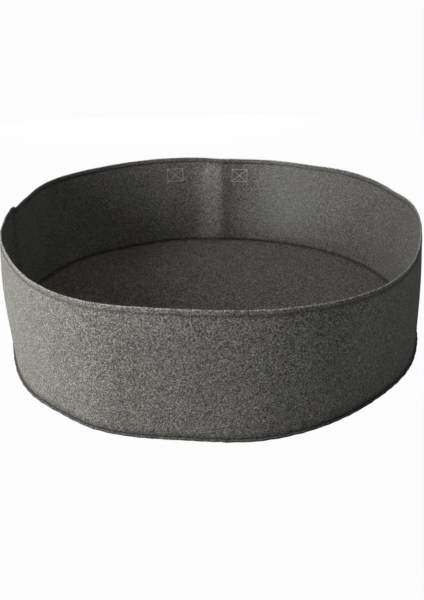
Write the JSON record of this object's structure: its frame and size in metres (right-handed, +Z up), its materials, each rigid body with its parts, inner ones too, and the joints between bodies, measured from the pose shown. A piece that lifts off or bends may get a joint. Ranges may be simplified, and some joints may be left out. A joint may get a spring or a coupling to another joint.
{
  "type": "fabric grow bag",
  "caption": "Wide, shallow round raised-bed planter of charcoal felt, with a hemmed rim, a stitched-on flat base and a webbing carrying handle on its back.",
  "frame": {"origin": "centre of the base's underside, on the ground", "axes": "+Z up to the rim, +Y out through the carrying handle at the back, -Y the plain front, +X to the right seen from the front"},
  "size_m": [1.1859, 1.2474, 0.305],
  "materials": {
    "felt": "matte needle-punched felt, charcoal with lighter fibres",
    "webbing": "matte woven webbing, dark charcoal",
    "dark_thread": "satin spun polyester thread, charcoal",
    "grey_thread": "satin spun polyester thread, light grey"
  },
  "bodies": {
    "bag": {"wall_panel": "felt", "base_panel": "felt", "hem_thread_outside": "dark_thread", "hem_thread_inside": "dark_thread", "base_seam_thread": "dark_thread", "lap_thread_front_outside": "dark_thread", "lap_thread_front_inside": "dark_thread", "lap_thread_back_outside": "dark_thread", "lap_thread_back_inside": "dark_thread", "handle_end_left": "webbing", "handle_end_right": "webbing", "box_stitch_left_outside": "grey_thread", "box_stitch_left_inside": "grey_thread", "box_stitch_right_outside": "grey_thread", "box_stitch_right_inside": "grey_thread"},
    "handle": {"handle_loop": "webbing"}
  },
  "joints": [
    {"name": "handle_swing", "type": "hinge", "parent": "bag", "child": "handle", "pos_m": [-0.01795, 0.61192, 0.245], "axis": [1, 0, 0], "range_deg": [-55, 55]}
  ]
}
